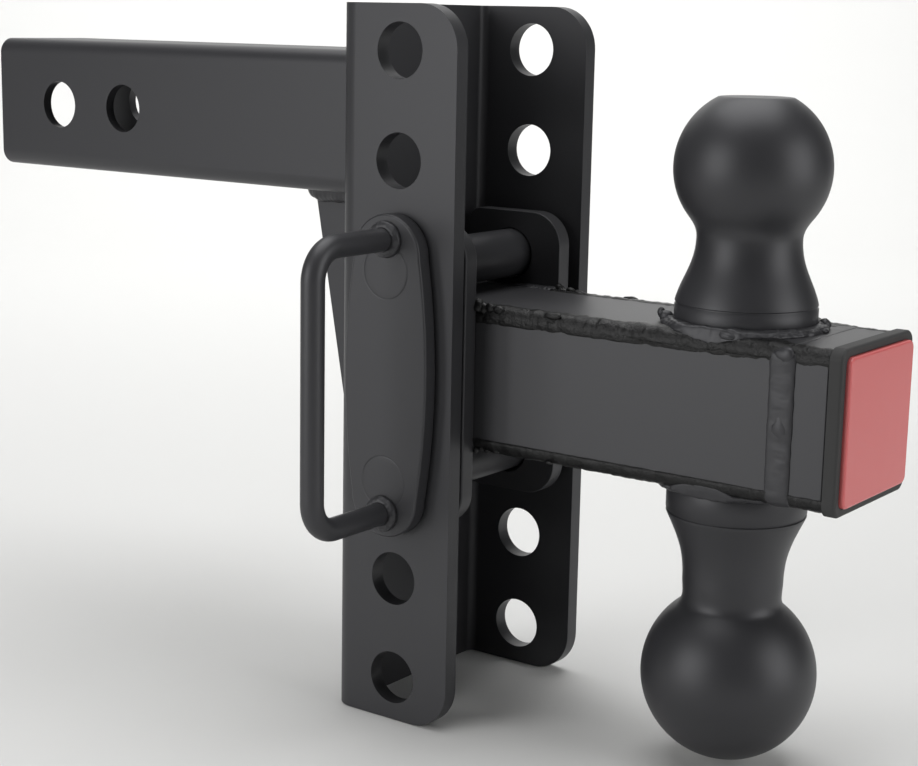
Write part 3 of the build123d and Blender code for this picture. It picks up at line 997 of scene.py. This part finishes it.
class HITCH_OT_pin_handle(bpy.types.Operator):
    """Build the pins, their plate, the bent handle and its welds"""

    bl_idname = "hitch.pin_handle"
    bl_label = "Pins and handle"

    def execute(self, context):
        sizes = context.scene.hitch_sizes
        pin_round = 0.5 * MM
        for node, name, radius in (
            ("handle_plate", "pin_plate", sizes.edge_round),
            ("upper_pin", "pin_upper", pin_round),
            ("lower_pin", "pin_lower", pin_round),
        ):
            softened(node, name, PIN_HANDLE, "pin_coat", radius)

        low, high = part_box("handle_bar")
        radius = (high.x - low.x) / 2
        x = (high.x + low.x) / 2
        near = low.y + radius
        top = high.z - radius
        bottom = low.z + radius
        bend = 11.0 * MM
        face = high.y
        path = [Vector((x, face + 0.3 * MM, top)), Vector((x, (face + near + bend) / 2, top))]
        upper_hub = Vector((x, near + bend, top - bend))
        path += arc_points(upper_hub, Vector((x, near + bend, top)), Vector((x, near, top - bend)), 14)
        path += [Vector((x, near, (top + bottom) / 2))]
        lower_hub = Vector((x, near + bend, bottom + bend))
        path += arc_points(lower_hub, Vector((x, near, bottom + bend)), Vector((x, near + bend, bottom)), 14)
        path += [Vector((x, (face + near + bend) / 2, bottom)), Vector((x, face + 0.3 * MM, bottom))]
        mesh = tube_along(path, radius, 40, "bent_handle")
        piece = new_piece("bent_handle", mesh, PIN_HANDLE, "pin_coat", "handle_bar")
        crisp(piece, "crisp_ends", 60)

        out = Vector((0.0, -1.0, 0.0))
        paths = []
        for level in (top, bottom):
            centre = Vector((x, face, level))
            count = round(math.tau * radius / (0.6 * sizes.bead_step))
            circle = upright_circle(count)
            paths.append([(centre + away * radius * 0.97, away, out, radius * turn * 1.4) for turn, away in circle])
        shape = bead(paths, fillet_section(2.5 * MM, 2.3 * MM), 71, ripple=0.4, rough=1.1, streak=1.0, closed=True)
        bead_piece("handle_beads", shape, "handle_welds", PIN_HANDLE)

        plug_low, plug_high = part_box("pin_plug_welds")
        plug_radius = (plug_high.x - plug_low.x) / 2
        shape = bmesh.new()
        segments = 72
        for number, level in enumerate((plug_high.z - plug_radius, plug_low.z + plug_radius)):
            centre = Vector((x, face, level))
            rings = []
            # share of the plug's radius, then height above the plate in millimetres
            for reach, rise in ((1.15, -1.4), (1.15, -0.2), (1.0, -0.05), (0.85, -0.01), (0.6, 0.01), (0.25, 0.02)):
                ring = []
                for _, away in upright_circle(segments):
                    waver = 1.0 + 0.02 * wander(centre + away * plug_radius, 160.0, 81 + number)
                    lift = rise * MM + 0.03 * MM * wander(centre + away * plug_radius * reach, 320.0, 83)
                    ring.append(shape.verts.new(centre + away * plug_radius * reach * waver + out * lift))
                rings.append(ring)
            skin(shape, zip(rings, rings[1:]))
            shape.faces.new(rings[0])
            shape.faces.new(rings[-1])
        mesh = close_and_store(shape, "plug_weld_faces")
        new_piece("plug_weld_faces", mesh, PIN_HANDLE, "pin_coat", "pin_plug_welds")
        return {"FINISHED"}


class HITCH_OT_stage(bpy.types.Operator):
    """Set the camera, the pale floor and the soft studio lights"""

    bl_idname = "hitch.stage"
    bl_label = "Studio stage"

    def execute(self, context):
        scene = context.scene
        stage = scene.hitch_stage
        low, high = frame_box
        middle = (low + high) / 2

        camera_data = bpy.data.cameras.new("camera")
        camera_data.lens = stage.lens
        camera_data.sensor_width = 36.0
        camera_data.clip_start = 0.01
        camera = bpy.data.objects.new("camera", camera_data)
        scene.collection.objects.link(camera)
        aim = Euler((QUARTER - stage.camera_dip, 0.0, stage.camera_turn)).to_matrix()
        aim = aim @ Matrix.Rotation(stage.camera_roll, 3, "Z")
        camera.matrix_world = Matrix.Translation(stage.camera_place) @ aim.to_4x4()
        scene.camera = camera

        view_heading = Vector((-math.sin(stage.camera_turn), math.cos(stage.camera_turn), 0.0))

        def softbox(name, heading, height, distance, width, tall, power):
            """A rectangular light that faces the hitch from a heading, counted from -Y towards +X."""
            data = bpy.data.lights.new(name, "AREA")
            data.shape = "RECTANGLE"
            data.size = width
            data.size_y = tall
            data.energy = power
            lamp = bpy.data.objects.new(name, data)
            scene.collection.objects.link(lamp)
            away = Vector((math.sin(heading), -math.cos(heading), 0.0)) * distance + Vector((0.0, 0.0, height))
            lamp.location = middle + away
            lamp.rotation_euler = (-away).to_track_quat("-Z", "Y").to_euler()
            return lamp

        softbox("handle_side_softbox", math.radians(-20), 0.25, 1.2, 0.8, 0.9, stage.side_light)
        softbox("ball_side_softbox", math.radians(98), 0.25, 1.2, 0.7, 0.9, stage.end_light)
        softbox("top_softbox", math.radians(216), 1.25, 0.15, 1.3, 1.3, stage.top_light)
        backdrop_lamp = softbox("backdrop_lamp", math.radians(216), 1.3, 1.0, 2.4, 0.5, stage.back_light)
        onto_backdrop = Vector((view_heading.x, view_heading.y, -0.75))
        backdrop_lamp.rotation_euler = onto_backdrop.to_track_quat("-Z", "Y").to_euler()

        world = bpy.data.worlds.new("room")
        world.use_nodes = True
        background = world.node_tree.nodes["Background"]
        background.inputs["Color"].default_value = (1.0, 1.0, 1.0, 1.0)
        background.inputs["Strength"].default_value = stage.room_light
        scene.world = world
        scene.view_settings.view_transform = "Standard"

        sideways = Vector((view_heading.y, -view_heading.x, 0.0))
        floor_z = low.z - 0.2 * MM
        half_floor = 3.0
        run = 1.3
        bend = 0.6
        rise = 2.2
        profile = [(-2.5, 0.0), (run, 0.0)]
        turns = [QUARTER * i / 16 for i in range(1, 17)]
        profile += [(run + bend * math.sin(turn), bend - bend * math.cos(turn)) for turn in turns]
        profile += [(run + bend, rise)]
        shape = bmesh.new()
        rows = []
        for ahead, up in profile:
            base = Vector((middle.x, middle.y, floor_z + up)) + view_heading * ahead
            rows.append([shape.verts.new(base + sideways * reach) for reach in (-half_floor, half_floor)])
        for here, there in zip(rows, rows[1:]):
            shape.faces.new((here[0], here[1], there[1], there[0]))
        mesh = bpy.data.meshes.new("studio_floor")
        shape.to_mesh(mesh)
        shape.free()
        mesh.shade_smooth()
        mesh.materials.append(finish_for("floor_paint"))
        sweep = bpy.data.objects.new("studio_floor", mesh)
        scene.collection.objects.link(sweep)
        return {"FINISHED"}


class HITCH_PT_tools(bpy.types.Panel):
    """Lists the hitch's operators and settings"""

    bl_label = "Trailer hitch"
    bl_idname = "HITCH_PT_tools"
    bl_space_type = "VIEW_3D"
    bl_region_type = "UI"
    bl_category = "Hitch"

    def draw(self, context):
        for operator in OPERATORS:
            self.layout.operator(operator.bl_idname)
        for name, group in GROUPS.items():
            column = self.layout.column(align=True)
            for setting in group.__annotations__:
                column.prop(getattr(context.scene, name), setting)


OPERATORS = (
    HITCH_OT_stage,
    HITCH_OT_receiver_side,
    HITCH_OT_arm,
    HITCH_OT_balls,
    HITCH_OT_arm_welds,
    HITCH_OT_frame_welds,
    HITCH_OT_end_cap,
    HITCH_OT_pin_handle,
)
GROUPS = {"hitch_sizes": HitchSizes, "hitch_colours": HitchColours, "hitch_stage": HitchStage}


def register():
    """Make the settings, operators and panel known to Blender."""
    for name, group in GROUPS.items():
        bpy.utils.register_class(group)
        setattr(bpy.types.Scene, name, PointerProperty(type=group))
    for operator in OPERATORS:
        bpy.utils.register_class(operator)
    bpy.utils.register_class(HITCH_PT_tools)


def unregister():
    """Take the settings, operators and panel away again."""
    bpy.utils.unregister_class(HITCH_PT_tools)
    for operator in reversed(OPERATORS):
        bpy.utils.unregister_class(operator)
    for name, group in GROUPS.items():
        delattr(bpy.types.Scene, name)
        bpy.utils.unregister_class(group)


def main():
    """Build everything in order."""
    register()
    for operator in OPERATORS:
        family, action = operator.bl_idname.split(".")
        getattr(getattr(bpy.ops, family), action)()


if __name__ == "__main__":
    main()
